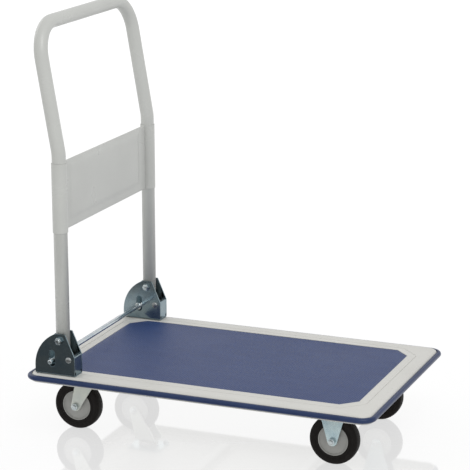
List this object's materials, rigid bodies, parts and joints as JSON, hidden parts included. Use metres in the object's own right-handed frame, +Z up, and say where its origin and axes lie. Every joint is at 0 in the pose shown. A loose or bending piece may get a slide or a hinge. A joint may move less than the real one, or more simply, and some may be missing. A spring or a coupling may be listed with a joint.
{
  "type": "folding platform cart",
  "caption": "Folding platform cart: pressed steel deck with an inlaid mat, rubber edge, fold-down tube handle with a panel, and swivel and fixed casters.",
  "frame": {"origin": "on the ground, below the middle of the platform", "axes": "+Z up; +X along the platform, away from the handle, with the fixed casters at +X and the swivel casters at -X; +Y across it, towards the object's left"},
  "size_m": [0.74, 0.48, 0.853],
  "materials": {
    "white_paint": "off-white powder coat, semi-gloss",
    "handle_paint": "light grey powder coat, semi-gloss",
    "blue_mat": "grey-blue ribbed mat, satin",
    "blue_rubber": "dark blue moulded edge strip, satin",
    "zinc": "bright zinc plate",
    "tyre": "black solid rubber, matt",
    "hub_grey": "grey moulded plastic",
    "steel": "plain turned steel"
  },
  "bodies": {
    "platform": {"deck_pan": "white_paint", "deck_mat": "blue_mat", "edge_bumper": "blue_rubber", "front_stiffener": "white_paint", "rear_stiffener": "white_paint", "handle_bracket_left": "zinc", "pivot_bolt_left": "zinc", "pivot_nut_left": "zinc", "stop_pin_left": "zinc", "bracket_bolt_front_left": "zinc", "bracket_nut_front_left": "zinc", "bracket_bolt_rear_left": "zinc", "bracket_nut_rear_left": "zinc", "fixed_fork_left": "zinc", "axle_bolt_front_left": "zinc", "axle_nut_front_left": "zinc", "axle_sleeve_front_left": "steel", "swivel_plate_left": "zinc", "swivel_bearing_left": "steel", "kingpin_left": "steel", "handle_bracket_right": "zinc", "pivot_bolt_right": "zinc", "pivot_nut_right": "zinc", "stop_pin_right": "zinc", "bracket_bolt_front_right": "zinc", "bracket_nut_front_right": "zinc", "bracket_bolt_rear_right": "zinc", "bracket_nut_rear_right": "zinc", "fixed_fork_right": "zinc", "axle_bolt_front_right": "zinc", "axle_nut_front_right": "zinc", "axle_sleeve_front_right": "steel", "swivel_plate_right": "zinc", "swivel_bearing_right": "steel", "kingpin_right": "steel"},
    "handle": {"handle_tube": "handle_paint", "handle_panel": "handle_paint"},
    "lock_bar": {"lock_bar": "zinc", "bar_collar_left": "zinc", "bar_collar_right": "zinc"},
    "swivel_left": {"swivel_fork_left": "zinc", "axle_bolt_rear_left": "zinc", "axle_nut_rear_left": "zinc", "axle_sleeve_rear_left": "steel"},
    "swivel_right": {"swivel_fork_right": "zinc", "axle_bolt_rear_right": "zinc", "axle_nut_rear_right": "zinc", "axle_sleeve_rear_right": "steel"},
    "wheel_front_left": {"hub_front_left": "hub_grey", "tyre_front_left": "tyre"},
    "wheel_front_right": {"hub_front_right": "hub_grey", "tyre_front_right": "tyre"},
    "wheel_rear_left": {"hub_rear_left": "hub_grey", "tyre_rear_left": "tyre"},
    "wheel_rear_right": {"hub_rear_right": "hub_grey", "tyre_rear_right": "tyre"}
  },
  "joints": [
    {"name": "handle_fold", "type": "hinge", "parent": "platform", "child": "handle", "pos_m": [-0.292, 0, 0.211], "axis": [0, 1, 0], "range_deg": [0, 98.9]},
    {"name": "lock_bar_lift", "type": "slide", "parent": "platform", "child": "lock_bar", "axis": [0, 0, 1], "range_m": [-0.005, 0.017]},
    {"name": "caster_swivel_left", "type": "hinge", "parent": "platform", "child": "swivel_left", "pos_m": [-0.2675, 0.139, 0.1249], "axis": [0, 0, 1], "continuous": true},
    {"name": "caster_swivel_right", "type": "hinge", "parent": "platform", "child": "swivel_right", "pos_m": [-0.2675, -0.139, 0.1249], "axis": [0, 0, 1], "continuous": true},
    {"name": "wheel_spin_rear_left", "type": "hinge", "parent": "swivel_left", "child": "wheel_rear_left", "pos_m": [-0.2945, 0.139, 0.05], "axis": [0, 1, 0], "continuous": true},
    {"name": "wheel_spin_rear_right", "type": "hinge", "parent": "swivel_right", "child": "wheel_rear_right", "pos_m": [-0.2945, -0.139, 0.05], "axis": [0, 1, 0], "continuous": true},
    {"name": "wheel_spin_front_left", "type": "hinge", "parent": "platform", "child": "wheel_front_left", "pos_m": [0.2617, 0.139, 0.05], "axis": [0, 1, 0], "continuous": true},
    {"name": "wheel_spin_front_right", "type": "hinge", "parent": "platform", "child": "wheel_front_right", "pos_m": [0.2617, -0.139, 0.05], "axis": [0, 1, 0], "continuous": true}
  ]
}
